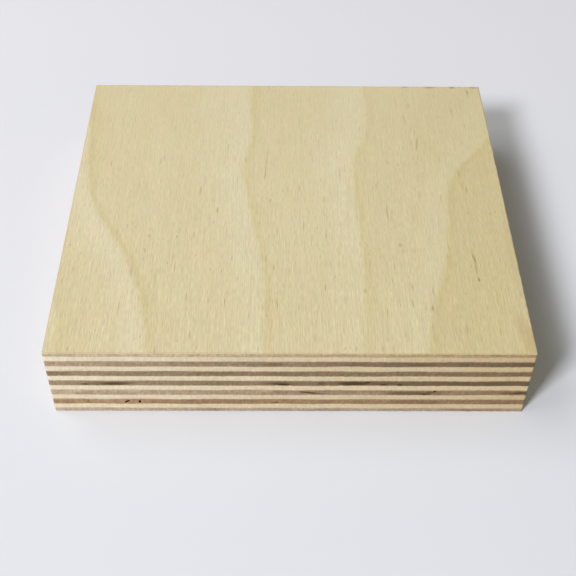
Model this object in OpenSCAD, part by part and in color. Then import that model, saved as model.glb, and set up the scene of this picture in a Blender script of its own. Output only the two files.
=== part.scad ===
// Offcut of birch plywood: an odd number of thin veneers glued in a pack,
// each with its grain square to the next, sanded on both faces and sawn on four edges.
// The origin is at the centre of the underside. +X runs along the front edge, across the
// face grain, +Y runs back along the face grain, and +Z points up out of the face.
// Sizes are in millimetres and angles in degrees.

/* [Panel] */
// Width of the panel, across the grain of the face
panel_w = 94; // [50:1:300]
// Depth of the panel, along the grain of the face
panel_d = 86; // [40:1:300]
// Radius of the four upright corners, blunted with sandpaper
corner_r = 0.4; // [0.1:0.1:3]
// Width of the eased arris round the face and round the back
arris = 0.15; // [0.05:0.05:0.5]

/* [Veneers] */
// Number of veneers in the pack, always odd
ply_count = 13; // [5:2:21]
// Thickness of the face and back veneers after sanding
face_veneer_t = 1; // [0.6:0.05:3]
// Thickness of each inner veneer after pressing
inner_veneer_t = 1.45; // [0.8:0.05:3.2]

/* [Edge gaps] */
// Veneer with the two gaps in its front edge, counted up from the back
gap_ply_up = 3; // [2:1:4]
// How far the gaps run in from the front edge
gap_depth = 4; // [1:0.5:20]
// Distance of the slanting gap's middle from the left edge
slant_gap_from_left = 14.8; // [5:0.1:45]
// Length of the slanting gap, from point to point
slant_gap_length = 1.5; // [0.8:0.1:4]
// Width of the slanting gap at its middle
slant_gap_opening = 0.5; // [0.2:0.05:0.7]
// Slope of the slanting gap
slant_gap_tilt = 38; // [0:1:90]
// Distance of the steep gap's middle from the left edge
steep_gap_from_left = 17.3; // [5:0.1:45]
// Length of the steep gap, from point to point
steep_gap_length = 0.95; // [0.8:0.05:4]
// Width of the steep gap at its middle
steep_gap_opening = 0.5; // [0.2:0.05:0.7]
// Slope of the steep gap
steep_gap_tilt = 76; // [0:1:90]

/* [Split veneer] */
// Veneer with the pin gap and the split corner, counted up from the back
split_ply_up = 5; // [2:1:8]
// Distance of the pin gap's middle from the right edge
pin_gap_from_right = 18.4; // [5:0.1:45]
// Depth of the pin gap's middle below the veneer's upper side
pin_gap_down = 0.3; // [0.3:0.05:0.4]
// Length of the pin gap, from point to point
pin_gap_length = 0.8; // [0.6:0.05:1]
// Width of the pin gap at its middle
pin_gap_opening = 0.4; // [0.2:0.05:0.5]
// Slope of the pin gap
pin_gap_tilt = 18; // [0:1:30]
// How far the split runs along the front edge from the right-hand corner
split_length = 2.2; // [1:0.1:10]
// Width of the split where it opens at the corner
split_opening = 0.4; // [0.2:0.05:0.7]

/* [Hidden] */
// Colours of the sanded face, of side grain and of end grain
face_colour = [0.84, 0.79, 0.63];
side_grain_colour = [0.90, 0.83, 0.68];
end_grain_colour = [0.56, 0.47, 0.38];

// Numbers of the veneers with gaps, counted down from the face
gap_ply = ply_count + 1 - gap_ply_up;
split_ply = ply_count + 1 - split_ply_up;

// How far a cutting shape runs past what it cuts
overrun = 1;
round_sides = 64;

// Veneers are numbered from 1, the face, down to ply_count, the back
function underside_of(i) =
    i == ply_count ? 0 : face_veneer_t + (ply_count - 1 - i) * inner_veneer_t;

// Odd veneers have their grain front to back, so the front edge shows their end grain
function runs_long(i) = i % 2 == 1;
function two_digits(i) = i < 10 ? str("0", i) : str(i);
function inner_name(i) = str(runs_long(i) ? "long_ply_" : "cross_ply_", two_digits(i));

// Outline shared by every veneer, sawn through the whole pack at once
module panel_outline() {
    square([panel_w - 2 * corner_r, panel_d], center = true);
    square([panel_w, panel_d - 2 * corner_r], center = true);
    for (x = [-1, 1], y = [-1, 1])
        translate([x * (panel_w / 2 - corner_r), y * (panel_d / 2 - corner_r)])
            circle(corner_r, $fn = round_sides);
}

// Flat sheet of veneer with its underside at z = 0
module veneer_sheet(thickness) {
    linear_extrude(thickness) panel_outline();
}

// Section of an outer veneer, with the two arrises of its upper side eased
module eased_section(width, thickness) {
    half = width / 2;
    polygon([
        [-half, 0],
        [half, 0],
        [half, thickness - arris],
        [half - arris, thickness],
        [arris - half, thickness],
        [-half, thickness - arris]
    ]);
}

// Outer veneer with its sanded side up and its glued side at z = 0
module outer_veneer() {
    intersection() {
        veneer_sheet(face_veneer_t);
        rotate([90, 0, 0])
            linear_extrude(panel_d + 2 * overrun, center = true)
                eased_section(panel_w, face_veneer_t);
        rotate([90, 0, 90])
            linear_extrude(panel_w + 2 * overrun, center = true)
                eased_section(panel_d, face_veneer_t);
    }
}

// Pointed opening between two arcs, where the strips of a veneer part
module gap_opening(length, opening) {
    bow_r = (pow(length, 2) + pow(opening, 2)) / (4 * opening);
    intersection_for (side = [-1, 1])
        translate([0, side * (bow_r - opening / 2)])
            circle(bow_r, $fn = round_sides);
}

// Pocket that a gap leaves in the front edge, with its middle at a height above its veneer's underside
module edge_gap(from_left, height, length, opening, tilt) {
    translate([from_left - panel_w / 2, gap_depth - panel_d / 2, height])
        rotate([90, 0, 0])
            linear_extrude(gap_depth + overrun)
                rotate(tilt)
                    gap_opening(length, opening);
}

module face_veneer() {
    color(face_colour)
        translate([0, 0, underside_of(1)])
            outer_veneer();
}

module back_veneer() {
    color(face_colour)
        translate([0, 0, face_veneer_t])
            mirror([0, 0, 1])
                outer_veneer();
}

// Two gaps side by side, halfway up their veneer
module paired_gaps() {
    middle = inner_veneer_t / 2;
    edge_gap(slant_gap_from_left, middle, slant_gap_length, slant_gap_opening, slant_gap_tilt);
    edge_gap(steep_gap_from_left, middle, steep_gap_length, steep_gap_opening, steep_gap_tilt);
}

// Pin gap just under the glue line, and a split that is widest where it meets the right edge
module pin_gap_and_split() {
    pin_height = inner_veneer_t - pin_gap_down;
    edge_gap(panel_w - pin_gap_from_right, pin_height, pin_gap_length, pin_gap_opening, pin_gap_tilt);
    edge_gap(panel_w, inner_veneer_t / 2, 2 * split_length, split_opening, 0);
}

module inner_veneer(i) {
    color(runs_long(i) ? end_grain_colour : side_grain_colour)
        translate([0, 0, underside_of(i)])
            difference() {
                veneer_sheet(inner_veneer_t);
                if (i == gap_ply) paired_gaps();
                if (i == split_ply) pin_gap_and_split();
            }
}

face_veneer();
for (i = [2 : ply_count - 1])
    inner_veneer(i);
back_veneer();
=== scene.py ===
# Birch plywood offcut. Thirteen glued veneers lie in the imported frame, and each is dressed here as
# a sheet of its own, with a sawn edge, wavy glue lines and the grain that its direction gives it.
import math

import bpy
import numpy as np
from mathutils import Matrix, Vector


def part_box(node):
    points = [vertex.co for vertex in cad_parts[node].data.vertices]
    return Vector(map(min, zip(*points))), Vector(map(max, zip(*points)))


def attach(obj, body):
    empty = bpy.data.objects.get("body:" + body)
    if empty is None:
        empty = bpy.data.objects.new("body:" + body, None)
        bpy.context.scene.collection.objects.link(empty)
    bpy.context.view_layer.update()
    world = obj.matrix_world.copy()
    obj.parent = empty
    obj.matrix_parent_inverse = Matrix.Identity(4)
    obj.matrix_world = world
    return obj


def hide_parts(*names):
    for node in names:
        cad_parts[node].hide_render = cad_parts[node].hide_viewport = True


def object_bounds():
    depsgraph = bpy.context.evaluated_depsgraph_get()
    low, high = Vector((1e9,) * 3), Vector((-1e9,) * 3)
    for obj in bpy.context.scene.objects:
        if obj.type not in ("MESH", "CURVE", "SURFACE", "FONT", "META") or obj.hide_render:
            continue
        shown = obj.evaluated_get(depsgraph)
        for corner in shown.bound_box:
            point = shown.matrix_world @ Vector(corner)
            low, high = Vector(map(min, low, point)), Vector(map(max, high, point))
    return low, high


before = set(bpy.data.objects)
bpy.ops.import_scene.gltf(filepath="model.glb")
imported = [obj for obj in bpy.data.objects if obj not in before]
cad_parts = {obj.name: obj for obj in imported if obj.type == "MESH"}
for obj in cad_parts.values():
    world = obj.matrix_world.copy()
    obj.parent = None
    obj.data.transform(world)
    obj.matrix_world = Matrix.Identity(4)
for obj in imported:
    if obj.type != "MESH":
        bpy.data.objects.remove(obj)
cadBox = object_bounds()

# Lengths below are in millimetres, in the frame's own axes: +X along the front edge, +Y to the back
mm = 0.001
veneers = sorted(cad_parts, key=lambda name: -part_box(name)[1].z)   # face first, back last
leftEdge, rightEdge = (corner.x / mm for corner in cadBox)
frontEdge, backEdge = (corner.y / mm for corner in cadBox)
panelWidth, panelDepth = rightEdge - leftEdge, backEdge - frontEdge
print("frame:", len(veneers), "veneers,", round(panelWidth), "x", round(panelDepth), "mm")


def runsLong(index):
    return index % 2 == 0   # the face, and every other veneer under it, has its grain front to back


# Shader helpers: a socket takes another node's output or a plain value
def feed(tree, socket, value):
    if isinstance(value, bpy.types.NodeSocket):
        tree.links.new(value, socket)
    else:
        socket.default_value = value


def addNode(tree, kind, values, **settings):
    made = tree.nodes.new("ShaderNode" + kind)
    for name, setting in settings.items():
        setattr(made, name, setting)
    for name, value in values.items():
        feed(tree, made.inputs[name], value)
    return made


def calc(tree, operation, *values):
    return addNode(tree, "Math", dict(enumerate(values)), operation=operation).outputs[0]


def clamp(tree, value):
    return addNode(tree, "Clamp", {0: value}).outputs[0]


def remap(tree, value, fromLow, fromHigh, toLow=0.0, toHigh=1.0, ease="SMOOTHSTEP"):
    ends = {"Value": value, "From Min": fromLow, "From Max": fromHigh, "To Min": toLow, "To Max": toHigh}
    return addNode(tree, "MapRange", ends, interpolation_type=ease).outputs[0]


def mixTone(tree, amount, under, over):
    # sockets 6 and 7 of a mix are its colours
    return addNode(tree, "Mix", {0: amount, 6: under, 7: over}, data_type="RGBA").outputs[2]


def paint(tree, colour, amount, tone):
    return mixTone(tree, amount, colour, screen(*tone))


def shadeBy(tree, *patterns):
    # one shade from several patterns, each given with how far it swings about its middle
    shade = 1.0
    for pattern, amount in patterns:
        swing = calc(tree, "MULTIPLY_ADD", pattern, amount, 1 - amount / 2)
        shade = calc(tree, "MULTIPLY", shade, swing)
    return shade


def tint(tree, colour, shade):
    return addNode(tree, "VectorMath", {0: colour, "Scale": shade}, operation="SCALE").outputs[0]


def blush(tree, colour, pattern, lean):
    # leans a colour's red, green and blue one way where the pattern is high, and back where it is low
    low = tuple(1 - part for part in lean) + (1.0,)
    high = tuple(1 + part for part in lean) + (1.0,)
    swing = mixTone(tree, pattern, low, high)
    return addNode(tree, "VectorMath", {0: colour, 1: swing}, operation="MULTIPLY").outputs[0]


def bendCurve(tree, value, points):
    made = addNode(tree, "FloatCurve", {"Value": value})
    curve = made.mapping.curves[0]
    curve.points[0].location = points[0]
    curve.points[1].location = points[-1]
    for point in points[1:-1]:
        curve.points.new(*point)
    for point in curve.points:
        point.handle_type = "AUTO_CLAMPED"
    made.mapping.update()
    return made.outputs[0]


# Values that the finishes share
pinkness = (0.022, -0.007, 0.007)   # how far a tone leans in red, green and blue
yellowness = (0.0, 0.0, -0.035)
noiseSpan = (0.25, 0.75)            # where nearly all of the noise lies
plainDetail, fineDetail = 2.0, 3.0  # how many finer layers the noise has
poreSpan = (0.06, 0.2)              # dark core and rim of a pore, as shares of its cell
poreless = 0.5                      # share of the cells that stay plain
bumpStrength = 0.5
halfWay = 0.5                       # plyHeight half up an inner veneer, and on an outer one's sanded side


def laid(tree, place, size, turn=(0, 0, 0), shift=(0, 0, 0)):
    ends = {"Vector": place, "Location": shift, "Rotation": turn, "Scale": size}
    return addNode(tree, "Mapping", ends, vector_type="TEXTURE").outputs[0]


def streaks(tree, place, size, turn=(0, 0, 0), shift=(0, 0, 0), detail=plainDetail):
    # size is how long a streak runs along each axis, and the pattern goes from 0 to 1
    where = laid(tree, place, size, turn, shift)
    noise = addNode(tree, "TexNoise", {"Vector": where, "Scale": 1.0, "Detail": detail}).outputs["Fac"]
    return remap(tree, noise, *noiseSpan, ease="LINEAR")


def spot(tree, place, middle, reach, turn=(0, 0, 0)):
    # 1 at the middle, 0 where the reach along each axis ends
    where = laid(tree, place, reach, turn, middle)
    return addNode(tree, "TexGradient", {"Vector": where}, gradient_type="SPHERICAL").outputs["Fac"]


def dashes(tree, place, size, shift=(0, 0, 0)):
    # short open pores, one to a cell of that size, most of them faint
    cell = addNode(tree, "TexVoronoi", {"Vector": laid(tree, place, size, shift=shift), "Scale": 1.0})
    chance = addNode(tree, "SeparateXYZ", {"Vector": cell.outputs["Color"]}).outputs["X"]
    core = remap(tree, cell.outputs["Distance"], *poreSpan, 1.0, 0.0)
    return calc(tree, "MULTIPLY", core, remap(tree, chance, poreless, 1.0, ease="LINEAR"))


def screen(red, green, blue):
    # a colour as a screen shows it, 0 to 255, to the linear one that Blender takes
    parts = [value / 255 for value in (red, green, blue)]
    return tuple(p / 12.92 if p <= 0.04045 else ((p + 0.055) / 1.055) ** 2.4 for p in parts) + (1.0,)


def startMaterial(name):
    material = bpy.data.materials.new(name)
    material.use_nodes = True
    tree = material.node_tree
    where = addNode(tree, "TexCoord", {}).outputs["Object"]
    place = addNode(tree, "VectorMath", {0: where, "Scale": 1 / mm}, operation="SCALE").outputs[0]
    return material, tree, place


def plyHeight(tree):
    return addNode(tree, "Attribute", {}, attribute_name="plyHeight").outputs["Fac"]


def finishMaterial(tree, colour, pattern, height, finish):
    # the roughness follows a pattern, and the bumps follow the height
    shader = tree.nodes["Principled BSDF"]
    roughness = remap(tree, pattern, 0.0, 1.0, *finish["roughness"])
    rise = {"Strength": bumpStrength, "Distance": finish["relief"] * mm, "Height": height}
    tree.links.new(colour, shader.inputs["Base Color"])
    tree.links.new(roughness, shader.inputs["Roughness"])
    tree.links.new(addNode(tree, "Bump", rise).outputs[0], shader.inputs["Normal"])
    shader.inputs["Specular IOR Level"].default_value = finish["shine"]


# Sanded face: growth rings that the lathe cut flat, each pale up to a yellow line and fading after it.
# A ring's course is a list of (from the back edge, from the left edge), and a fleck or a tan blot is
# (from the left edge, from the back edge, length, width, lean to the left, strength).
faceFigure = {
    "pale": (218, 207, 170),
    "late": (207, 192, 145),
    "honey": (198, 182, 130),
    "honeyToRight": 0.42,
    "honeyToFront": 0.1,
    "pore": (150, 121, 80),
    "fleck": (130, 105, 32),
    "worn": (186, 158, 116),
    "grainEnds": (0.7, 1.3),   # how strongly the grain shows at the back and at the front
    "blots": [(92.8, 81, 13, 3.0, 14, 0.4), (93.2, 60, 30, 2.0, 0, 0.2)],
    "shift": (0, 0, 0),
    "rings": [
        {
            "weight": 1.15,
            "course": [(0, -1.5), (15, 0.5), (35, 2.5), (42, 4), (50, 8), (62, 14), (74, 18), (86, 20)],
        },
        {
            "weight": 0.96,
            "course": [(0, 38), (10, 38.5), (20, 38.5), (32, 37), (47, 39), (60, 41), (72, 42), (86, 42)],
        },
        {
            "weight": 0.8,
            "course": [(0, 65), (9, 66), (20, 64.5), (32, 61.5), (40, 61.5), (60, 62.5), (86, 61.5)],
        },
        {
            "weight": 1.4,
            "honey": 0.13,   # past this ring the wood is a little more yellow
            "course": [(0, 104), (16, 96), (24, 91), (31, 85.5), (40, 82), (55, 80.5), (65, 78.5),
                       (74, 75.5), (86, 74)],
        },
        {"weight": 1.5, "course": [(0, 106), (60, 100.5), (74, 95.5), (86, 91)]},
        {"weight": 0.7, "course": [(0, -10), (65, -3), (75, 1), (86, 2.5)]},
    ],
    "flecks": [
        # back left
        (7.1, 30.0, 3.0, 0.35, 0, 0.3), (27.7, 39.0, 3.0, 0.35, 0, 0.5),
        # back middle
        (42.1, 29.0, 13, 0.3, -4, 0.3), (41.8, 34.0, 3.4, 0.35, -4, 0.4), (49.6, 14.5, 6.0, 0.4, 0, 0.2),
        (46.8, 39.0, 3.2, 0.35, 0, 0.2), (45.6, 39.2, 1.5, 0.4, 0, 0.2), (52.4, 28.0, 5.0, 0.3, 0, 0.2),
        (58.5, 33.5, 5.0, 0.4, 0, 0.3), (43.0, 42.5, 1.6, 0.3, -12, 0.5), (54.7, 42.0, 3.0, 0.35, 0, 0.2),
        # back right
        (76.7, 22.6, 5.6, 0.4, -7, 0.5), (74.5, 13.3, 4.4, 0.5, 8, 0.3), (69.5, 29.2, 1.4, 0.5, 0, 0.3),
        (71.8, 30.2, 1.2, 0.5, 0, 0.2), (75.9, 8.0, 2.6, 0.9, 0, 0.2), (90.8, 2.5, 2.6, 0.5, 0, 0.5),
        (82.7, 12.2, 1.6, 0.4, 0, 0.2), (85.4, 37.4, 3.0, 0.4, 0, 0.3), (86.2, 38.6, 3.0, 0.35, 0, 0.4),
        (85.1, 33.0, 3.0, 0.3, 0, 0.3), (66.5, 37.4, 3.2, 0.35, 0, 0.2), (75.8, 34.2, 1.4, 0.3, 0, 0.3),
        (80.3, 41.5, 3.2, 0.35, 0, 0.3),
        # dark marks along the back arris, towards the right
        (75.7, 0.2, 1.3, 1.4, 0, 0.5), (81.8, 0.2, 1.3, 2.6, 0, 0.6), (87.3, 0.2, 1.5, 1.4, 0, 0.7),
        (92.6, 0.2, 1.3, 2.2, 0, 0.6),
        # front left
        (17.7, 53.7, 0.9, 0.5, 0, 0.4), (23.5, 53.9, 0.9, 0.5, 0, 0.4), (22.0, 61.7, 0.7, 0.4, 0, 0.4),
        (17.1, 58.0, 1.6, 0.4, 0, 0.4), (17.0, 60.6, 1.6, 0.3, 0, 0.3), (12.8, 50.5, 1.7, 0.35, 0, 0.3),
        (13.4, 74.2, 5.0, 0.35, 0, 0.3), (1.5, 56.5, 0.8, 0.5, 0, 0.3), (4.8, 85.0, 1.4, 0.4, 0, 0.4),
        (2.9, 63.5, 3.6, 0.3, 0, 0.2), (26.5, 71.0, 4.0, 0.3, 0, 0.3), (20.0, 66.0, 5.0, 0.3, 0, 0.2),
        (27.0, 53.0, 2.0, 0.3, 0, 0.3),
        # front middle
        (31.6, 45.6, 2.0, 0.4, 0, 0.5), (42.2, 60.5, 2.6, 0.35, 0, 0.3), (43.8, 63.0, 2.2, 0.3, 0, 0.4),
        (42.6, 76.3, 0.8, 0.6, 0, 0.3), (54.8, 53.6, 4.0, 0.4, 0, 0.3), (44.3, 72.5, 2.4, 0.3, 0, 0.3),
        (51.7, 55.0, 3.0, 0.25, 0, 0.2), (62.2, 69.5, 1.6, 0.5, 0, 0.4), (59.5, 84.8, 1.6, 0.35, 0, 0.4),
        (35.2, 60.3, 1.6, 0.3, 0, 0.3),
        # front right
        (68.2, 46.3, 7.0, 0.3, 0, 0.5), (70.3, 56.2, 1.5, 0.9, 0, 0.4), (85.1, 60.0, 3.4, 0.4, 8, 0.8),
        (85.2, 63.4, 3.0, 0.35, 0, 0.6), (85.4, 66.3, 1.3, 0.45, 0, 0.8), (84.3, 62.5, 1.0, 0.3, 0, 0.4),
        (75.2, 74.1, 2.0, 0.35, 0, 0.8), (71.4, 73.0, 3.0, 0.3, 0, 0.5), (64.7, 84.7, 1.8, 0.35, 0, 0.4),
        (73.7, 85.0, 1.3, 0.35, 0, 0.2), (82.0, 85.3, 1.2, 0.3, 0, 0.3),
    ],
}

# The underside has a quieter sheet of the same birch
backFigure = {
    "pale": (212, 198, 160),
    "late": (203, 186, 139),
    "honey": (199, 176, 124),
    "honeyToRight": 0.6,
    "honeyToFront": 0.0,
    "pore": (142, 113, 76),
    "fleck": (124, 99, 32),
    "worn": (180, 152, 112),
    "grainEnds": (1.0, 0.8),
    "blots": [(3, 8, 14, 4, -10, 0.3)],
    "shift": (310, 170, 0),
    "rings": [
        {"weight": 0.8, "course": [(0, 12), (30, 15), (60, 11), (86, 7)]},
        {"weight": 1.0, "course": [(0, 33), (25, 35.5), (55, 34), (86, 30)]},
        {"weight": 0.7, "course": [(0, 51), (30, 54), (58, 52), (86, 47)]},
        {"weight": 0.9, "course": [(0, 76), (22, 80), (50, 79), (86, 71)]},
    ],
    "flecks": [
        (24.0, 20.0, 4.0, 0.35, 0, 0.6), (61.0, 48.0, 6.0, 0.35, -4, 0.55), (70.5, 71.0, 2.0, 0.4, 0, 0.7),
        (41.0, 66.0, 1.2, 0.5, 0, 0.6), (86.0, 30.0, 3.0, 0.35, 5, 0.5), (12.0, 52.0, 2.4, 0.35, 0, 0.5),
        (33.5, 34.0, 1.4, 0.4, 0, 0.6), (52.0, 14.0, 5.0, 0.3, 0, 0.4), (77.0, 58.0, 3.0, 0.35, 0, 0.5),
        (18.0, 77.0, 3.0, 0.35, 0, 0.45), (47.0, 80.0, 1.6, 0.4, 0, 0.6), (66.0, 27.0, 2.2, 0.35, 0, 0.4),
    ],
}

# How the colour runs across a ring: how far past its line, then 0 for pale to 1 for late wood
ringProfile = [
    (-12, 0.42), (-8, 0.33), (-5, 0.21), (-2.2, 0.08), (-1.2, 0.1), (-0.7, 0.19), (-0.3, 0.33), (0, 0.54),
    (0.3, 0.8), (0.6, 0.9), (1.0, 0.84), (1.6, 0.67), (2.2, 0.59), (4, 0.52), (8, 0.44), (20, 0.42),
]
ringFlow = {
    "margin": 13,                  # how far off the panel a course may run
    "waver": 0.8,                  # how far a line strays from its course, and the size of its bends
    "waverSize": (2.5, 9, 9),
    "feather": 0.8,                # how far single fibres carry it, and their size
    "featherSize": (0.25, 5, 5),
    "cloud": 0.3,                  # patches with more or less late wood, and their size
    "cloudSize": (9, 26, 26),
    "honeyFrom": (8.0, 10.0),      # how far right of the middle, and how far behind it, the honey starts
    "honeyFade": 1.0,              # how far to each side of a ring its own step in honey reaches
}


def lateWood(tree, place, figure):
    # how much late wood there is at a place, and how far its tone has turned to honey
    shift, margin, fade = figure["shift"], ringFlow["margin"], ringFlow["honeyFade"]
    axes = addNode(tree, "SeparateXYZ", {"Vector": place}).outputs
    fromBack = remap(tree, axes["Y"], backEdge, frontEdge, ease="LINEAR")
    waver = streaks(tree, place, ringFlow["waverSize"], shift=shift, detail=fineDetail)
    feather = streaks(tree, place, ringFlow["featherSize"], shift=shift)
    across = calc(tree, "MULTIPLY_ADD", waver, ringFlow["waver"], axes["X"])
    across = calc(tree, "MULTIPLY_ADD", feather, ringFlow["feather"], across)
    span = panelWidth + 2 * margin
    start = leftEdge - margin + (ringFlow["waver"] + ringFlow["feather"]) / 2
    first, last = ringProfile[0][0], ringProfile[-1][0]
    profile = [((past - first) / (last - first), level) for past, level in ringProfile]
    resting = ringProfile[0][1]
    late = resting
    honeyX, honeyY = ringFlow["honeyFrom"]
    honey = calc(tree, "ADD", remap(tree, axes["X"], honeyX, rightEdge, 0.0, figure["honeyToRight"]),
                 remap(tree, axes["Y"], honeyY, frontEdge, 0.0, figure["honeyToFront"]))
    for ring in figure["rings"]:
        course = [(back / panelDepth, (left + margin) / span) for back, left in ring["course"]]
        line = calc(tree, "MULTIPLY_ADD", bendCurve(tree, fromBack, course), span, start)
        past = calc(tree, "SUBTRACT", across, line)
        share = remap(tree, past, first, last, ease="LINEAR")
        gained = calc(tree, "SUBTRACT", bendCurve(tree, share, profile), resting)
        late = calc(tree, "MULTIPLY_ADD", gained, ring["weight"], late)
        if "honey" in ring:
            honey = calc(tree, "ADD", honey, remap(tree, past, -fade, fade, 0.0, ring["honey"]))
    cloud = streaks(tree, place, ringFlow["cloudSize"], shift=shift, detail=fineDetail)
    clouded = calc(tree, "MULTIPLY_ADD", cloud, ringFlow["cloud"], -ringFlow["cloud"] / 2)
    return clamp(tree, calc(tree, "ADD", late, clouded)), honey


# A fleck or a blot is a soft spot, which looks smaller than it is
markSpot = {
    "width": 0.8,     # reach to each side, as a share of the mark's own width and length
    "length": 0.65,
    "depth": 99,      # right through the veneer
    "full": 0.7,      # level of the spot at which the mark has its full strength
}


def faceMarks(tree, place, marks):
    total = 0.0
    for left, back, length, width, lean, strength in marks:
        middle = (leftEdge + left, backEdge - back, 0)
        reach = (width * markSpot["width"], length * markSpot["length"], markSpot["depth"])
        mark = spot(tree, place, middle, reach, (0, 0, math.radians(lean)))
        total = calc(tree, "MULTIPLY_ADD", remap(tree, mark, 0.0, markSpot["full"]), strength, total)
    return total


# Grain of both sanded faces: a pattern's size on each axis, and how far it shades the wood
faceGrain = {
    "fibres": (0.18, 2.0, 2.0),
    "fibreShade": 0.2,
    "strands": (0.22, 8, 8),
    "strandShade": 0.15,
    "pinkPatch": (1.2, 7, 7),
    "yellowPatch": (0.7, 5, 5),
    "yellowShift": (5, 5, 0),
    "pores": [(0.55, 3, 3), (0.8, 9, 9)],
    "poreShade": 0.45,
    "porePit": 0.8,              # depth of a pore, where a fleck's is 1
    "arrisShade": 0.55,          # how brown the arris has worn
    "fleckShade": 0.8,
    "fleckBreaks": (0.8, 0.5),   # strands break a fleck up: what one adds, and what is left between them
    "strandRise": 0.5,           # height of a strand, where a fibre's is 1
    "relief": 0.05,
    "roughness": (0.52, 0.68),
    "shine": 0.35,
}


def makeFace(name, figure):
    material, tree, place = startMaterial(name)
    shift = figure["shift"]
    late, honey = lateWood(tree, place, figure)
    colour = paint(tree, screen(*figure["pale"]), late, figure["late"])
    colour = paint(tree, colour, honey, figure["honey"])

    fibres, strands, pink = (streaks(tree, place, faceGrain[key], shift=shift)
                             for key in ("fibres", "strands", "pinkPatch"))
    depth = addNode(tree, "SeparateXYZ", {"Vector": place}).outputs["Y"]
    shows = remap(tree, depth, backEdge, frontEdge, *figure["grainEnds"], ease="LINEAR")
    shade = shadeBy(tree, (fibres, faceGrain["fibreShade"]), (strands, faceGrain["strandShade"]))
    shade = calc(tree, "MULTIPLY_ADD", calc(tree, "SUBTRACT", shade, 1.0), shows, 1.0)
    yellow = streaks(tree, place, faceGrain["yellowPatch"], shift=faceGrain["yellowShift"])
    colour = blush(tree, blush(tree, tint(tree, colour, shade), pink, pinkness), yellow, yellowness)
    pores = calc(tree, "MAXIMUM", *(dashes(tree, place, size, shift) for size in faceGrain["pores"]))
    poreTone = calc(tree, "MULTIPLY", pores, calc(tree, "MULTIPLY", shows, faceGrain["poreShade"]))
    colour = paint(tree, colour, poreTone, figure["pore"])

    blotted = faceMarks(tree, place, figure["blots"])
    arrisWear = remap(tree, plyHeight(tree), halfWay, 1.0, 0.0, faceGrain["arrisShade"])
    colour = paint(tree, colour, calc(tree, "MAXIMUM", blotted, arrisWear), figure["worn"])
    breaks = calc(tree, "MULTIPLY_ADD", strands, *faceGrain["fleckBreaks"])
    marked = clamp(tree, calc(tree, "MULTIPLY", faceMarks(tree, place, figure["flecks"]), breaks))
    colour = paint(tree, colour, calc(tree, "MULTIPLY", marked, faceGrain["fleckShade"]), figure["fleck"])

    pits = calc(tree, "MULTIPLY_ADD", pores, faceGrain["porePit"], marked)
    height = calc(tree, "MULTIPLY_ADD", strands, faceGrain["strandRise"], fibres)
    finishMaterial(tree, colour, fibres, calc(tree, "SUBTRACT", height, pits), faceGrain)
    return material
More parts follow.
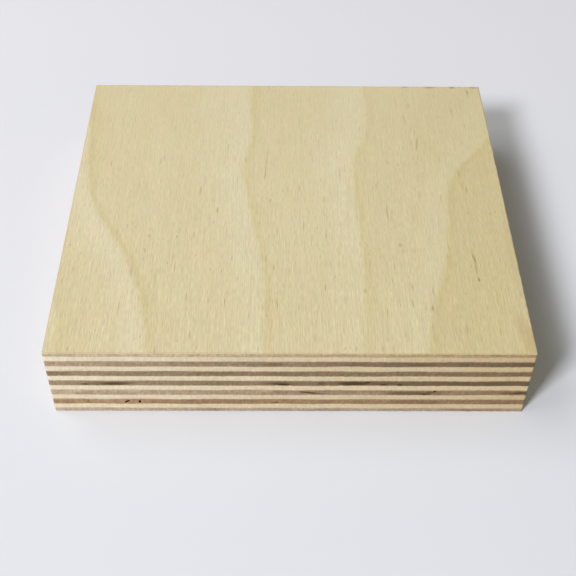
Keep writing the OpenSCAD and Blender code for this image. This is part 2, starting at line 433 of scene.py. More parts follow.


# Sawn edges. Tones are at the two ends of an edge; along the front and back edges the darker
# right end is partly the wood's own tone and partly painted shade, where light falls off across
# the front. A stain on the front edge is (from the left edge, share of the veneer's height, length,
# thickness, tilt, strength).
edgeLooks = {
    "face_veneer": {
        "end": [(199, 183, 154), (173, 144, 101)],
        "side": [(226, 211, 174), (212, 194, 152)],
    },
    "cross_ply_02": {
        "end": [(166, 144, 119), (146, 124, 101)],
        "side": [(229, 215, 186), (197, 174, 128)],
    },
    "long_ply_03": {
        "end": [(180, 159, 131), (102, 80, 60)],
        "side": [(226, 210, 178), (214, 196, 158)],
        "stains": [(42, 0.5, 44, 2.4, 0, 0.16), (44, 0.45, 5, 1.0, 0, 0.3), (66, 0.5, 24, 2.4, 0, 0.18),
                   (72.5, 0.4, 6, 1.0, 0, 0.35)],
    },
    "cross_ply_04": {
        "end": [(148, 126, 103), (139, 117, 95)],
        "side": [(226, 211, 181), (200, 181, 136)],
        "stains": [(28, 0.5, 9, 1.2, 0, 0.35), (61, 0.4, 5, 0.9, 0, 0.4)],
    },
    "long_ply_05": {
        "end": [(148, 129, 103), (128, 102, 76)],
        "side": [(228, 212, 180), (212, 193, 154)],
        "stains": [(2, 0.6, 6, 1.2, 0, 0.25), (33, 0.6, 14, 1.0, 0, 0.25), (46, 0.5, 10, 1.4, 0, 0.15)],
    },
    "cross_ply_06": {
        "end": [(140, 117, 94), (152, 129, 105)],
        "side": [(230, 216, 186), (201, 181, 137)],
        "stains": [(12, 0.5, 6, 1.1, 0, 0.3), (47, 0.55, 12, 1.4, 0, 0.3)],
    },
    "long_ply_07": {
        "end": [(156, 136, 106), (108, 86, 67)],
        "side": [(229, 213, 181), (213, 194, 156)],
        "stains": [
            (7, 0.25, 1.6, 0.6, 0, 0.6), (10.5, 0.4, 10, 1.1, 0, 0.4), (13.4, 0.45, 7, 1.3, 2, 0.6),
            (45.5, 0.45, 9, 1.4, 0, 0.3), (45.3, 0.4, 4.6, 1.1, -4, 0.5),
            (45.6, 0.25, 2.4, 0.5, -4, 0.5), (53.2, 0.5, 1.8, 1.2, 0, 0.45), (59.5, 0.5, 7.0, 1.3, 0, 0.8),
            (60, 0.5, 18, 1.6, 0, 0.3), (62.2, 0.75, 1.4, 0.6, 0, 0.8), (65.4, 0.25, 1.6, 0.6, 0, 0.8),
            (68.5, 0.25, 1.6, 0.6, 0, 0.75), (78, 0.5, 34, 2.2, 0, 0.35),
        ],
    },
    "cross_ply_08": {
        "end": [(160, 136, 111), (142, 118, 95)],
        "side": [(231, 216, 186), (210, 190, 146)],
        "stains": [(33, 0.5, 3, 0.8, -6, 0.5), (70, 0.45, 8, 1.1, 0, 0.4)],
    },
    "long_ply_09": {
        "end": [(188, 168, 140), (136, 110, 83)],
        "side": [(228, 212, 179), (211, 192, 153)],
        "stains": [
            (46, 0.5, 12, 1.4, 0, 0.12), (50.6, 0.55, 4.2, 0.55, -9, 0.85), (52.5, 0.3, 5, 0.6, -6, 0.4),
            (70.5, 0.4, 10, 1.1, 0, 0.5), (72, 0.5, 15, 1.8, 0, 0.22), (74.8, 0.6, 2.6, 0.7, -8, 0.4),
            (74.0, 0.15, 2.6, 0.7, 0, 0.55), (91, 0.45, 6, 0.8, 0, 0.55), (92.6, 0.5, 3, 0.6, 0, 0.7),
        ],
    },
    "cross_ply_10": {
        "end": [(146, 122, 97), (156, 133, 108)],
        "side": [(229, 213, 184), (203, 180, 138)],
        "stains": [(20, 0.5, 14, 1.6, 0, 0.25), (56, 0.4, 4, 0.8, 0, 0.4)],
    },
    "long_ply_11": {
        "end": [(172, 142, 106), (136, 111, 81)],
        "side": [(227, 210, 176), (210, 190, 150)],
        "stains": [
            (2, 0.4, 6, 1.0, 0, 0.2), (7.1, 0.5, 0.8, 0.8, 0, 0.4), (30, 0.5, 30, 1.6, 0, 0.14),
            (44.2, 0.35, 2.2, 0.6, 0, 0.5), (72, 0.5, 13, 1.6, 0, 0.22),
        ],
    },
    "cross_ply_12": {
        "end": [(172, 150, 125), (150, 127, 103)],
        "side": [(229, 213, 181), (206, 185, 142)],
    },
    "back_veneer": {
        "end": [(190, 171, 152), (161, 142, 125)],
        "side": [(222, 206, 170), (208, 190, 150)],
        "stains": [(31, 0.5, 9, 1.0, 0, 0.25), (55, 0.5, 8, 1.0, 0, 0.2), (84, 0.5, 12, 1.0, 0, 0.25)],
    },
}
edgeFinish = {
    "stain": (58, 44, 26),
    "rust": (142, 104, 68),
    "pore": (166, 136, 92),
    "drift": 0.25,             # how far the tone wanders between an edge's two ends, and over what size
    "driftSize": (11, 11, 40),
    "smear": {"end": (184, 160, 128), "side": (110, 84, 60)},
    "smearShare": 0.14,        # of a veneer's height, at each glue line
    "smearShade": 0.4,
    "stainReach": 0.62,        # to each side, as a share of a stain's length and thickness
    "stainDepth": 6,
    "haloSpan": (0.0, 0.4),    # where the rusty rim and the dark core of a stain start and are full
    "coreSpan": (0.1, 0.6),
    "streakDepth": 40,         # how far a streak on an edge runs into the panel
}


# the tone runs from one end of the edge to the other; along the front and back edges its darker right end
# is partly painted shade
def edgeToneAndShade(tree, place, ends, alongX, shift):
    axes = addNode(tree, "SeparateXYZ", {"Vector": place}).outputs
    low, high = (leftEdge, rightEdge) if alongX else (frontEdge, backEdge)
    share = remap(tree, axes["X" if alongX else "Y"], low, high, ease="LINEAR")
    drift = streaks(tree, place, edgeFinish["driftSize"], shift=shift)
    drift = calc(tree, "MULTIPLY_ADD", drift, edgeFinish["drift"], -edgeFinish["drift"] / 2)
    share = clamp(tree, calc(tree, "ADD", share, drift))
    return paint(tree, screen(*ends[0]), share, ends[1])


def smearEdges(tree, colour, smear):
    # sanding has dragged a little of the next veneer's tone over each glue line
    fromMiddle = calc(tree, "ABSOLUTE", calc(tree, "SUBTRACT", plyHeight(tree), halfWay))
    clean = halfWay - edgeFinish["smearShare"]
    film = remap(tree, fromMiddle, clean, halfWay, 0.0, edgeFinish["smearShade"])
    return paint(tree, colour, film, smear)


def alongEdge(alongX, length, height):
    # size of a streak on an edge
    through = edgeFinish["streakDepth"]
    return (length, through, height) if alongX else (through, length, height)


def stainMarks(tree, place, look, low, high, alongX):
    # how rusty and how dark the stains leave an edge, and the edge across from it, turned about
    halo, core = 0.0, 0.0
    share, depth = edgeFinish["stainReach"], edgeFinish["stainDepth"]
    for along, level, length, thickness, tilt, strength in look.get("stains", []):
        height = low + level * (high - low)
        slope = math.radians(-tilt)
        if alongX:
            middles = [(leftEdge + along, frontEdge, height), (rightEdge - along, backEdge, height)]
            reach, turn = (length * share, depth, thickness * share), (0, slope, 0)
        else:
            middles = [(rightEdge, frontEdge + along, height), (leftEdge, backEdge - along, height)]
            reach, turn = (depth, length * share, thickness * share), (slope, 0, 0)
        for middle in middles:
            mark = spot(tree, place, middle, reach, turn)
            halo = calc(tree, "MULTIPLY_ADD", remap(tree, mark, *edgeFinish["haloSpan"]), strength, halo)
            core = calc(tree, "MULTIPLY_ADD", remap(tree, mark, *edgeFinish["coreSpan"]), strength, core)
    return halo, core


# End grain: knife checks that lean, layers along the veneer, soft patches and torn specks.
# A pair is a streak's length along the edge and its height.
endGrain = {
    "checks": (0.45, 1.1),
    "checkTilt": 15,
    "checkShade": 0.58,
    "layers": (7, 0.3),
    "layerShade": 0.24,
    "patches": (2.2, 2.2, 1.6),
    "patchShade": 0.2,
    "specks": (0.13, 0.13, 0.13),
    "speckShade": 0.22,
    "yellowPatch": (1.5, 1.5, 0.8),
    "rustPatch": (3, 3, 1.1),
    "rustFrom": 0.4,              # level of its pattern at which rust starts, and how strong it gets
    "rustShade": 0.35,
    "haloShade": 0.45,
    "stainBreaks": (0.5, 0.55),   # layers break a stain up: what one adds, and what is left between them
    "speckRise": 0.6,             # height of a speck, where a check's is 1
    "relief": 0.08,
    "roughness": (0.72, 0.9),
    "shine": 0.25,
}


def makeEndGrain(name, look, low, high, alongX, shift):
    material, tree, place = startMaterial(name)
    lean = math.radians(endGrain["checkTilt"])
    tilt = (0, lean, 0) if alongX else (lean, 0, 0)
    checks = streaks(tree, place, alongEdge(alongX, *endGrain["checks"]), tilt, shift, detail=fineDetail)
    layers = streaks(tree, place, alongEdge(alongX, *endGrain["layers"]), shift=shift, detail=fineDetail)
    patches, specks, yellow, rusty = (streaks(tree, place, endGrain[key], shift=shift)
                                      for key in ("patches", "specks", "yellowPatch", "rustPatch"))
    shade = shadeBy(tree, (checks, endGrain["checkShade"]), (layers, endGrain["layerShade"]),
                    (patches, endGrain["patchShade"]), (specks, endGrain["speckShade"]))
    colour = tint(tree, edgeToneAndShade(tree, place, look["end"], alongX, shift), shade)
    colour = blush(tree, colour, yellow, yellowness)
    rusty = remap(tree, rusty, endGrain["rustFrom"], 1.0, 0.0, endGrain["rustShade"])

    halo, core = stainMarks(tree, place, look, low, high, alongX)
    rusty = clamp(tree, calc(tree, "MULTIPLY_ADD", halo, endGrain["haloShade"], rusty))
    colour = paint(tree, colour, rusty, edgeFinish["rust"])
    ragged = calc(tree, "MULTIPLY_ADD", layers, *endGrain["stainBreaks"])
    colour = paint(tree, colour, clamp(tree, calc(tree, "MULTIPLY", core, ragged)), edgeFinish["stain"])

    height = calc(tree, "MULTIPLY_ADD", specks, endGrain["speckRise"], checks)
    colour = smearEdges(tree, colour, edgeFinish["smear"]["end"])
    finishMaterial(tree, colour, checks, height, endGrain)
    return material


# Side grain: long fibres, marks of the saw, short ticks, soft patches and open pores
sideGrain = {
    "fibres": (6, 0.12),
    "fibreShade": 0.08,
    "sawMarks": (0.45, 60),   # the same down the whole pack, which was cut at once
    "sawShade": 0.1,
    "ticks": (0.35, 0.9),
    "tickShade": 0.18,
    "patches": (2.2, 2.2, 1.2),
    "patchShade": 0.12,
    "pinkPatch": (3, 3, 1.2),
    "yellowPatch": (1.5, 1.5, 0.8),
    "pores": (3.4, 0.5),
    "poreShade": 0.3,
    "relief": 0.05,
    "roughness": (0.6, 0.76),
    "shine": 0.3,
}


def makeSideGrain(name, look, alongX, shift):
    material, tree, place = startMaterial(name)
    fibres = streaks(tree, place, alongEdge(alongX, *sideGrain["fibres"]), shift=shift)
    sawMarks = streaks(tree, place, alongEdge(alongX, *sideGrain["sawMarks"]))
    ticks = streaks(tree, place, alongEdge(alongX, *sideGrain["ticks"]), shift=shift)
    patches, pink, yellow = (streaks(tree, place, sideGrain[key], shift=shift)
                             for key in ("patches", "pinkPatch", "yellowPatch"))
    shade = shadeBy(tree, (fibres, sideGrain["fibreShade"]), (sawMarks, sideGrain["sawShade"]),
                    (ticks, sideGrain["tickShade"]), (patches, sideGrain["patchShade"]))
    colour = tint(tree, edgeToneAndShade(tree, place, look["side"], alongX, shift), shade)
    colour = blush(tree, blush(tree, colour, pink, pinkness), yellow, yellowness)
    pores = dashes(tree, place, alongEdge(alongX, *sideGrain["pores"]), shift)
    poreTone = calc(tree, "MULTIPLY", pores, sideGrain["poreShade"])
    colour = paint(tree, colour, poreTone, edgeFinish["pore"])
    height = calc(tree, "SUBTRACT", calc(tree, "ADD", fibres, sawMarks), pores)
    colour = smearEdges(tree, colour, edgeFinish["smear"]["side"])
    finishMaterial(tree, colour, fibres, height, sideGrain)
    return material


# Outline walked once round the panel, front edge first and left to right
outlineShape = {
    "cornerRadius": 0.4,
    "cornerSteps": 6,
    "frontStep": 0.33,
    "sideStep": 0.5,
}


def walkOutline():
    radius, steps = outlineShape["cornerRadius"], outlineShape["cornerSteps"]
    halfX, halfY = panelWidth / 2 - radius, panelDepth / 2 - radius
    countX = round(2 * halfX / outlineShape["frontStep"])
    countY = round(2 * halfY / outlineShape["sideStep"])
    ticksX = np.linspace(-halfX, halfX, countX + 1)
    ticksY = np.linspace(-halfY, halfY, countY + 1)
    sides = [   # the way it faces, its first cell, the move to the next cell, how many moves
        ((0, -1), (0, 0), (1, 0), countX),
        ((1, 0), (countX, 0), (0, 1), countY),
        ((0, 1), (countX, countY), (-1, 0), countX),
        ((-1, 0), (0, countY), (0, -1), countY),
    ]
    at, out, side, cell = [], [], [], []
    for number, (facing, first, move, count) in enumerate(sides):
        turn = math.atan2(facing[1], facing[0])
        for step in range(count + steps):
            here = min(step, count)
            i, j = first[0] + move[0] * here, first[1] + move[1] * here
            angle = turn + math.pi / 2 * max(step - count, 0) / steps
            normal = (math.cos(angle), math.sin(angle))
            at.append((ticksX[i] + radius * normal[0], ticksY[j] + radius * normal[1]))
            out.append(normal)
            side.append(number)
            cell.append(j * (countX + 1) + i)
    at = np.array(at)
    return {
        "at": at,
        "out": np.array(out),
        "side": np.array(side),
        "cell": np.array(cell),   # the nearest point of the grid that fills the sheet
        "steps": np.hypot(*(np.roll(at, -1, axis=0) - at).T),
        "ticks": (ticksX, ticksY),
    }


walk = walkOutline()
columns = len(walk["at"])
nextColumn = np.roll(np.arange(columns), -1)
travelled = np.concatenate([[0], np.cumsum(walk["steps"])])   # has one more entry, to close the loop

# Smooth random lines round the panel: first seed, longest and shortest wave, number of waves
randomLines = {
    "saw": (3, 4.0, 0.9, 40),
    "glueWave": (50, 60, 12, 12),
    "glueFray": (150, 4, 1.2, 40),
    "arrisWear": (90, 14, 1.2, 40),
    "tornFoot": (200, 3.0, 1.0, 30),
    "tornTop": (300, 3.0, 1.0, 30),
}


def wander(kind, index=0):
    # a line that meets itself again, mostly between -1 and 1
    seed, longest, shortest, waves = randomLines[kind]
    rng = np.random.default_rng(seed + index)
    around = travelled[-1]
    turns = rng.integers(round(around / longest), round(around / shortest) + 1, waves)
    phases = rng.uniform(0, 2 * math.pi, waves)
    angle = 2 * math.pi * travelled[:-1] / around
    return sum(np.sin(turn * angle + phase) for turn, phase in zip(turns, phases)) / math.sqrt(waves)


# Relief of the sawn pack
relief = {
    "glueWave": 0.05,         # how far a glue line strays from straight, and how ragged it is
    "glueFray": 0.032,
    "sawMark": 0.012,
    "sideGrainSink": 0.03,    # side grain is sanded a little lower than end grain
    "glueGroove": 0.025,
    "torn": 0.05,             # depth where end grain tore out
    "tornFrom": 1.1,          # how high its random line has to stand for that
    "tornTurn": 3,            # radians by which the line changes from a veneer's foot to its top
    "arris": 0.17,
    "arrisWear": 0.06,
    "arrisWorst": 1.6,        # how many times that wear the worst spot has
    "cornerGrain": 0.35,      # how little a rounded corner may face the front and still show its grain
}
sawLine = np.clip(wander("saw"), -1, 1)
glueWaves = []
for joint in range(len(veneers) - 1):
    fray = relief["glueFray"] * wander("glueFray", joint)
    glueWaves.append(relief["glueWave"] * wander("glueWave", joint) + fray)
facesFront = np.abs(walk["out"][:, 1]) > relief["cornerGrain"]


def showsEndGrain(index):
    # long plies show it at the front and back, cross plies at the left and right
    return facesFront if runsLong(index) else ~facesFront


def edgeSink(index, level):
    # how far the sawn edge lies inside the outline
    turn = level * relief["tornTurn"]
    torn = wander("tornFoot", index) * math.cos(turn) + wander("tornTop", index) * math.sin(turn)
    depth = relief["torn"] * np.clip(torn - relief["tornFrom"], 0, 1)
    rough = np.where(showsEndGrain(index), depth, relief["sideGrainSink"])
    return relief["sawMark"] * (1 + sawLine) + rough + relief["glueGroove"] * (level in (0, 1))


# A sheet is gathered ring by ring, with its place on the texture square beside each face
sheetRings = {
    "wall": [0.0, 0.05, 0.2, 0.4, 0.6, 0.8, 0.95, 1.0],           # shares of the veneer's height
    "cap": [0.3, 1.5, 4.0],                                       # distances in from the edge
    "arris": [(22.5, 0.8), (45, 1.0), (67.5, 1.0), (90, 0.85)],   # angles, and plyHeight for the wear
}
sharpAngle = 35   # faces that meet at more than this have a crisp edge
finishes = {"end": 0, "side": 1, "face": 2}   # places in a sheet's list of materials
wallStrips = {"inner": (0.12, 0.98, 2), "outer": (0.075, 0.15, 1)}   # from, to, pieces per side
stripMargins = (0.01, 0.06)   # bare ends of a strip, and its bare foot and top as a share of its height
planMargin = 0.5              # round the panel's plan
faceSquare = (0.01, 0.16, 0.98, 0.83)
capSquares = {
    "start": (0.02, 0.01, 0.05, 0.05),
    "end": (0.1, 0.01, 0.05, 0.05),
    "gap": (0.2, 0.01, 0.36, 0.09),
}


def newSheet():
    return {"points": [], "levels": [], "faces": [], "corners": [], "finish": [], "count": 0}


def addPoints(sheet, points, level):
    sheet["points"].append(points)
    sheet["levels"].append(np.full(len(points), float(level)))
    sheet["count"] += len(points)
    return np.arange(sheet["count"] - len(points), sheet["count"])


def addFaces(sheet, faces, corners, finish):
    sheet["faces"] += np.asarray(faces).tolist()
    sheet["corners"].append(np.asarray(corners, float).reshape(-1, 2))
    sheet["finish"].append(np.broadcast_to(finish, (len(faces),)))


def flatMap(points, square):
    # lays the panel's plan on part of the texture square
    corner = (leftEdge - planMargin, frontEdge - planMargin)
    share = (points[:, :2] - corner) / (panelWidth + 2 * planMargin, panelDepth + 2 * planMargin)
    return share * square[2:] + square[:2]


def faceMap(*plans):
    return np.stack([flatMap(plan, faceSquare) for plan in plans], 1)


def ringPoints(sink, height):
    plan = walk["at"] - walk["out"] * np.broadcast_to(sink, (columns,))[:, None]
    return np.column_stack([plan, np.broadcast_to(height, (columns,))])


def capPoints(inset, height):
    plan = walk["at"] * (1 - 2 * inset / np.array((panelWidth, panelDepth)))
    return np.column_stack([plan, np.broadcast_to(height, (columns,))])


def band(lower, upper):
    return np.column_stack([lower, lower[nextColumn], upper[nextColumn], upper])


def wallMap(strips, lowLevel, highLevel):
    bottom, top, pieces = strips
    side = walk["side"]
    sides = side[-1] + 1
    starts = np.array([travelled[:-1][side == number].min() for number in range(sides)])
    lengths = np.diff(np.append(starts, travelled[-1]))
    here = (travelled[:-1] - starts[side]) / lengths[side] * pieces
    there = (travelled[1:] - starts[side]) / lengths[side] * pieces
    piece = np.minimum(((here + there) / 2).astype(int), pieces - 1)
    tall = (top - bottom) / (sides * pieces)
    base = bottom + (side * pieces + piece) * tall
    ends, rims = stripMargins
    left, right = (ends + (1 - 2 * ends) * (along - piece) for along in (here, there))
    low, high = (base + tall * (rims + (1 - 2 * rims) * level) for level in (lowLevel, highLevel))
    corners = ((left, low), (right, low), (right, high), (left, high))
    return np.stack([np.column_stack(corner) for corner in corners], 1)


def addCap(sheet, edge, level, heightNear, heightFar, square, closing):
    # the glued side: its wave runs a little way in from the edge, and the middle is flat
    last = edge
    for inset in sheetRings["cap"]:
        points = capPoints(inset, heightFar if inset == sheetRings["cap"][-1] else heightNear)
        ring = addPoints(sheet, points, level)
        faces = band(last, ring) if closing else band(ring, last)
        corners = flatMap(np.concatenate(sheet["points"])[faces.ravel()], square)
        addFaces(sheet, faces, corners, finishes["side"])
        last = ring
    middle = last if closing else last[::-1]
    corners = flatMap(np.concatenate(sheet["points"])[middle], square)
    addFaces(sheet, [middle], corners, finishes["side"])


def addArris(sheet, edge, index, height, upward, arris):
    # a worn round, which lies unrolled on the texture square: its last ring, and where that lies
    sink = edgeSink(index, halfWay)

    def unrolled(angle):
        return walk["at"] + walk["out"] * (arris * (math.pi / 2 - angle - 1) - sink)[:, None]

    last, lastPlan = edge, unrolled(0)
    for degrees, level in sheetRings["arris"]:
        angle = math.radians(degrees)
        inward, down = arris * (1 - math.cos(angle)), arris * (1 - math.sin(angle))
        ring = addPoints(sheet, ringPoints(sink + inward, height - upward * down), level)
        plan = unrolled(angle)
        corners = faceMap(lastPlan, lastPlan[nextColumn], plan[nextColumn], plan)
        addFaces(sheet, band(last, ring), corners, finishes["face"])
        last, lastPlan = ring, plan
    return last, lastPlan


# Raised grain of a sanded side: waves across it, each drawn at random between two limits
raisedGrain = {
    "seed": 70,
    "height": 0.015,
    "waves": 14,
    "lengths": (0.9, 4),
    "slants": (-0.02, 0.02),
    "phases": (0, 6.3),
    "edge": 2,   # how far in from the edge it has its full height
}


def grainDrop(index, gridX, gridY):
    # how far the wood between the raised grain lies below the veneer's full height
    rng = np.random.default_rng(raisedGrain["seed"] + index)
    count = raisedGrain["waves"]
    draws = [rng.uniform(*raisedGrain[limits], count) for limits in ("lengths", "slants", "phases")]
    grain = np.zeros_like(gridX)
    for length, slant, phase in zip(*draws):
        grain += np.sin((gridX + slant * gridY) * 2 * math.pi / length + phase) / count
    fromEdge = np.minimum(gridX.max() - np.abs(gridX), gridY.max() - np.abs(gridY))
    return raisedGrain["height"] * (1 + grain) * np.clip(fromEdge / raisedGrain["edge"], 0, 1)


def addSandedSide(sheet, edge, index, height, upward, arris):
    # an arris, then a grid over the whole side
    last, lastPlan = addArris(sheet, edge, index, height, upward, arris)
    ticksX, ticksY = walk["ticks"]
    gridX, gridY = np.meshgrid(ticksX, ticksY)
    heights = height - upward * grainDrop(index, gridX, gridY)
    grid = np.column_stack([gridX.ravel(), gridY.ravel(), heights.ravel()])
    first = addPoints(sheet, grid, halfWay)[0]
    plan = grid[:, :2]
    cell, nextCell = walk["cell"], walk["cell"][nextColumn]
    square = np.column_stack([last, last[nextColumn], first + nextCell, first + cell])
    corners = faceMap(lastPlan, lastPlan[nextColumn], plan[nextCell], plan[cell])
    turning = cell == nextCell   # round a corner the grid has only one point, so a triangle meets it
    addFaces(sheet, square[~turning], corners[~turning], finishes["face"])
    addFaces(sheet, square[turning][:, :3], corners[turning][:, :3], finishes["face"])
    wide = len(ticksX)
    lowLeft = (np.arange(len(ticksY) - 1)[:, None] * wide + np.arange(wide - 1)).ravel()
    cellFaces = np.column_stack([lowLeft, lowLeft + 1, lowLeft + wide + 1, lowLeft + wide])
    addFaces(sheet, first + cellFaces, flatMap(plan[cellFaces.ravel()], faceSquare), finishes["face"])


def gatherVeneer(index, low, high):
    sheet = newSheet()
    isBack = index == len(veneers) - 1
    outer = isBack or index == 0
    upward = -1 if isBack else 1
    start, end = (high, low) if isBack else (low, high)   # an outer veneer starts from its glued side
    startWave = glueWaves[index - 1] if isBack else glueWaves[index]
    wear = np.clip(wander("arrisWear", index), -1, relief["arrisWorst"])
    arris = relief["arris"] + relief["arrisWear"] * wear
    endLine = end - upward * arris if outer else end + glueWaves[index - 1]
    finish = np.where(showsEndGrain(index), finishes["end"], finishes["side"])
    strips = wallStrips["outer" if outer else "inner"]
    levels, rings = sheetRings["wall"], []
    for level in levels:
        height = (start + startWave) * (1 - level) + endLine * level
        points = ringPoints(edgeSink(index, level), height)
        rings.append(addPoints(sheet, points, level * halfWay if outer else level))
    for lower, upper, lowLevel, highLevel in zip(rings, rings[1:], levels, levels[1:]):
        addFaces(sheet, band(lower, upper), wallMap(strips, lowLevel, highLevel), finish)
    if outer:
        addSandedSide(sheet, rings[-1], index, end, upward, arris)
    else:
        addCap(sheet, rings[-1], levels[-1], endLine, end, capSquares["end"], True)
    addCap(sheet, rings[0], levels[0], start + startWave, start, capSquares["start"], False)
    return sheet, isBack


def shapeMesh(name, sheet, flipped):
    faces, corners = sheet["faces"], np.concatenate(sheet["corners"])
    if flipped:
        ends = np.cumsum([len(face) for face in faces])
        corners = np.concatenate([part[::-1] for part in np.split(corners, ends[:-1])])
        faces = [face[::-1] for face in faces]
    mesh = bpy.data.meshes.new(name)
    mesh.from_pydata((np.concatenate(sheet["points"]) * mm).tolist(), [], faces)
    mesh.uv_layers.new(name="OFBake").data.foreach_set("uv", corners.ravel())
    mesh.polygons.foreach_set("material_index", np.concatenate(sheet["finish"]).astype(np.int32))
    levels = mesh.attributes.new("plyHeight", "FLOAT", "POINT")
    levels.data.foreach_set("value", np.concatenate(sheet["levels"]))
    mesh.shade_smooth()
    mesh.set_sharp_from_angle(angle=math.radians(sharpAngle))
    mesh.update()
    return mesh


# Gaps in the front edge of two long plies, where their strips part: pointed, with fuzzy walls in painted
# shade.
# A mouth is (from the left edge, share of the veneer's height, length, width, tilt).
edgeGaps = {
    "depth": 4,
    "overrun": 1,              # how far a cutter stands out of the edge
    "arcSteps": 12,
    # painted shade: the walls' colour, far darker than the wood, stands for the shade inside a gap
    "wall": (84, 52, 24),
    "fuzz": (0.2, 1.5, 0.2),
    "fuzzShade": 0.6,
    "relief": 0.1,
    "roughness": (0.8, 0.95),
    "shine": 0.2,
    "mouths": {
        "long_ply_09": [(75.6, 0.793, 0.8, 0.4, 18), (panelWidth, 0.5, 4.4, 0.4, 0)],
        "long_ply_11": [(14.8, 0.5, 1.5, 0.5, 38), (17.3, 0.5, 0.95, 0.5, 76)],
    },
}
gapSquare = {   # how a gap lies on its part of the texture square
    "walls": 0.6,
    "end": (0.5, 0.8),
    "endSize": 0.25,
    "apart": 0.02,
}


# the gap walls' material: fuzz over a dark brown that is painted shade
def makePaintedShadeGapWall(name):
    material, tree, place = startMaterial(name)
    fuzz = streaks(tree, place, edgeGaps["fuzz"], detail=fineDetail)
    shade = shadeBy(tree, (fuzz, edgeGaps["fuzzShade"]))
    colour = tint(tree, screen(*edgeGaps["wall"])[:3], shade)
    finishMaterial(tree, colour, fuzz, fuzz, edgeGaps)
    return material


def gapCutter(mouth, low, high, number):
    fromLeft, level, length, width, tilt = mouth
    bow = (length ** 2 + width ** 2) / (4 * width)   # radius of the two arcs that bound the mouth
    half = math.asin(length / 2 / bow)
    sweep = np.linspace(-half, half, edgeGaps["arcSteps"] + 1)
    arch = np.column_stack([bow * np.sin(sweep), bow * np.cos(sweep) - bow + width / 2])
    rim = np.concatenate([arch, -arch[1:-1]])[::-1]
    lean = math.radians(tilt)
    turned = rim @ np.array([(math.cos(lean), math.sin(lean)), (-math.sin(lean), math.cos(lean))])
    count = len(rim)
    middle = (leftEdge + fromLeft, low + level * (high - low))
    reaches = (frontEdge - edgeGaps["overrun"], frontEdge + edgeGaps["depth"])
    points = [(middle[0] + x, y, middle[1] + z) for y in reaches for x, z in turned]
    faces, corners = [], []
    for k in range(count):
        after, deep = (k + 1) % count, gapSquare["walls"]
        left, right = k / count, (k + 1) / count
        faces.append([after, k, count + k, count + after])
        corners += [(right, 0.0), (left, 0.0), (left, deep), (right, deep)]
    flat = (rim / length * gapSquare["endSize"] + gapSquare["end"]).tolist()
    faces += [list(range(count)), list(range(2 * count - 1, count - 1, -1))]
    corners += flat + flat[::-1]
    mesh = bpy.data.meshes.new("gap")
    mesh.from_pydata([Vector(point) * mm for point in points], [], faces)
    left, bottom, wide, tall = capSquares["gap"]
    square = np.array(corners) * (wide, tall) + (left + number * (wide + gapSquare["apart"]), bottom)
    mesh.uv_layers.new(name="OFBake").data.foreach_set("uv", square.ravel())
    return bpy.data.objects.new("gap", mesh)


def cutGaps(sheet, node, low, high):
    wall = makePaintedShadeGapWall(node + "_gap_wall")
    sheet.data.materials.append(wall)
    bpy.context.view_layer.objects.active = sheet
    for number, mouth in enumerate(edgeGaps["mouths"][node]):
        cutter = gapCutter(mouth, low, high, number)
        cutter.data.materials.append(wall)
        bpy.context.scene.collection.objects.link(cutter)
        cut = sheet.modifiers.new("gap", "BOOLEAN")
        cut.operation = "DIFFERENCE"
        cut.solver = "EXACT"
        cut.material_mode = "TRANSFER"
        cut.object = cutter
        bpy.ops.object.modifier_apply(modifier=cut.name)
        bpy.data.objects.remove(cutter)


def pieceName(node):
    first, *rest = node.split("_")
    return first + "".join(word.capitalize() for word in rest)


grainShift = (37.0, 53.0)   # from one veneer to the next, so that no two have the same grain


def dressVeneer(index, node):
    low, high = (corner.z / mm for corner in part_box(node))
    sheet, flipped = gatherVeneer(index, low, high)
    piece = bpy.data.objects.new(pieceName(node), shapeMesh(node, sheet, flipped))
    bpy.context.scene.collection.objects.link(piece)
    shift = (grainShift[0] * index, grainShift[1] * index, 0)
    long = runsLong(index)
    look = edgeLooks[node]
    piece.data.materials.append(makeEndGrain(node + "_end_grain", look, low, high, long, shift))
    piece.data.materials.append(makeSideGrain(node + "_side_grain", look, not long, shift))
    if index == 0:
        piece.data.materials.append(makeFace("sanded_face", faceFigure))
    if index == len(veneers) - 1:
        piece.data.materials.append(makeFace("sanded_back", backFigure))
    if node in edgeGaps["mouths"]:
        cutGaps(piece, node, low, high)
    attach(piece, "root")
    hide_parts(node)
    return piece


triangles = 0
for index, node in enumerate(veneers):
    piece = dressVeneer(index, node)
    piece.data.calc_loop_triangles()
    triangles += len(piece.data.loop_triangles)
print("veneers dressed:", len(veneers), "with", triangles, "triangles")


# Camera at the photograph's place: the block fills the frame, seen from the front and above
shot = {
    "place": (-2.61, -171.2, 169.75),
    "down": 46.23,   # degrees below level, then to the right, then of lean
    "turn": 0.9,
    "roll": 0.83,
    "lens": 65.6,
    "sensor": 36,
    "nearest": 10,   # what is nearer isn't drawn
}


def addCamera():
    down, turn, roll = (math.radians(shot[key]) for key in ("down", "turn", "roll"))
    ahead = Vector((math.sin(turn) * math.cos(down), math.cos(turn) * math.cos(down), -math.sin(down)))
    level = ahead.cross(Vector((0, 0, 1))).normalized()
    upright = level.cross(ahead)
    right = math.cos(roll) * level + math.sin(roll) * upright
    up = math.cos(roll) * upright - math.sin(roll) * level
    lens = bpy.data.cameras.new("camera")
    lens.lens = shot["lens"]
    lens.sensor_width = shot["sensor"]
    lens.clip_start = shot["nearest"] * mm
    camera = bpy.data.objects.new("camera", lens)
    facing = Matrix((right, up, -ahead)).transposed().to_4x4()
    camera.matrix_world = Matrix.Translation(Vector(shot["place"]) * mm) @ facing
    bpy.context.scene.collection.objects.link(camera)
    bpy.context.scene.camera = camera


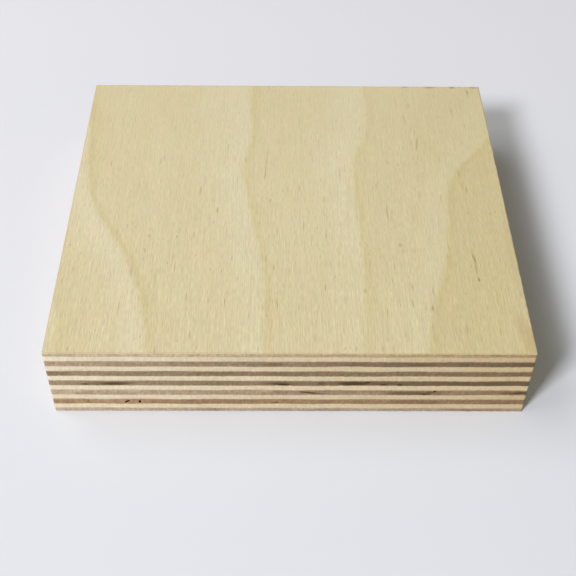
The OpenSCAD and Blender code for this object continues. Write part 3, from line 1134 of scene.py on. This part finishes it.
# Soft daylight from the front left, a wide fill from the left, and an even pale room round them.
# A lamp stands on a bearing from the middle of the panel: 0 is to the right, 90 is to the back.
studio = {
    # painted light: the floor is lighter further back, for the extra light that falls there
    "floor": [(221, 224, 228), (230, 230, 234)],   # by the front edge, and further back
    "floorBack": 94.6,          # how far behind the middle the second tone is full
    "floorSize": 6000,
    "floorDrop": 0.03,          # just under the sheet, so that the two don't meet in one plane
    "floorReach": (350, 900),   # where it starts to turn plain, and where it is quite plain
    "floorRoughness": 0.9,
    "floorShine": 0.1,
    "backdrop": (231, 232, 237),
    "sky": 0.225,
    "skyTint": (1.0, 0.99, 0.84),
    "lampTint": (0.99, 0.99, 1.05),
    "lamps": {
        "window": {"bearing": 230, "rise": 40.3, "away": 1500, "size": (300, 360), "power": 18.6},
        "fill": {"bearing": 168, "rise": 53.5, "away": 1500, "size": (1350, 750), "power": 8.0},
    },
}


def seenPlainly(tree):
    # 1 for the rays that should meet the plain background, from the eye or by way of a shine
    rays = addNode(tree, "LightPath", {}).outputs
    direct = calc(tree, "MAXIMUM", rays["Is Camera Ray"], rays["Is Glossy Ray"])
    return calc(tree, "MAXIMUM", direct, rays["Is Transmission Ray"])


def addFloor(backdrop):
    size, drop = studio["floorSize"] * mm, studio["floorDrop"] * mm
    bpy.ops.mesh.primitive_plane_add(size=size, location=(0, 0, -drop))
    floor = bpy.context.object
    floor.name = "floor"
    material = bpy.data.materials.new("floor")
    material.use_nodes = True
    tree = material.node_tree
    shader = tree.nodes["Principled BSDF"]
    shader.inputs["Roughness"].default_value = studio["floorRoughness"]
    shader.inputs["Specular IOR Level"].default_value = studio["floorShine"]
    where = addNode(tree, "TexCoord", {}).outputs["Object"]
    depth = addNode(tree, "SeparateXYZ", {"Vector": where}).outputs["Y"]
    # painted light: the floor's tone grows lighter towards the back
    behind = remap(tree, depth, frontEdge * mm, studio["floorBack"] * mm, ease="LINEAR")
    tone = mixTone(tree, behind, *(screen(*end) for end in studio["floor"]))
    tree.links.new(tone, shader.inputs["Base Color"])
    # far from the block the floor turns plain and goes on into the backdrop
    away = addNode(tree, "VectorMath", {0: where}, operation="LENGTH").outputs["Value"]
    near, far = (reach * mm for reach in studio["floorReach"])
    plain = calc(tree, "MULTIPLY", remap(tree, away, near, far), seenPlainly(tree))
    glow = addNode(tree, "Emission", {"Color": backdrop, "Strength": 1.0})
    both = addNode(tree, "MixShader", {0: plain, 1: shader.outputs[0], 2: glow.outputs[0]})
    tree.links.new(both.outputs[0], tree.nodes["Material Output"].inputs["Surface"])
    floor.data.materials.append(material)


def addLamp(name, lamp):
    light = bpy.data.lights.new(name, "AREA")
    light.shape = "RECTANGLE"
    light.size, light.size_y = (side * mm for side in lamp["size"])
    light.energy = lamp["power"]
    light.color = studio["lampTint"]
    bearing, rise = math.radians(lamp["bearing"]), math.radians(lamp["rise"])
    level = math.cos(rise)
    outward = Vector((level * math.cos(bearing), level * math.sin(bearing), math.sin(rise)))
    stand = bpy.data.objects.new(name, light)
    stand.location = outward * lamp["away"] * mm
    stand.rotation_euler = (-outward).to_track_quat("-Z", "Y").to_euler()
    bpy.context.scene.collection.objects.link(stand)


def addRoom(backdrop):
    world = bpy.data.worlds.new("room")
    world.use_nodes = True
    bpy.context.scene.world = world
    tree = world.node_tree
    sky = tree.nodes["Background"]
    sky.inputs["Color"].default_value = (*studio["skyTint"], 1)
    sky.inputs["Strength"].default_value = studio["sky"]
    plain = addNode(tree, "Background", {"Color": backdrop, "Strength": 1.0})
    both = addNode(tree, "MixShader", {0: seenPlainly(tree), 1: sky.outputs[0], 2: plain.outputs[0]})
    tree.links.new(both.outputs[0], tree.nodes["World Output"].inputs["Surface"])


def addStudio():
    backdrop = screen(*studio["backdrop"])
    addFloor(backdrop)
    addRoom(backdrop)
    for name, lamp in studio["lamps"].items():
        addLamp(name, lamp)


addCamera()
addStudio()
bpy.context.scene.view_settings.view_transform = "Standard"
print("camera, lamps and floor set")
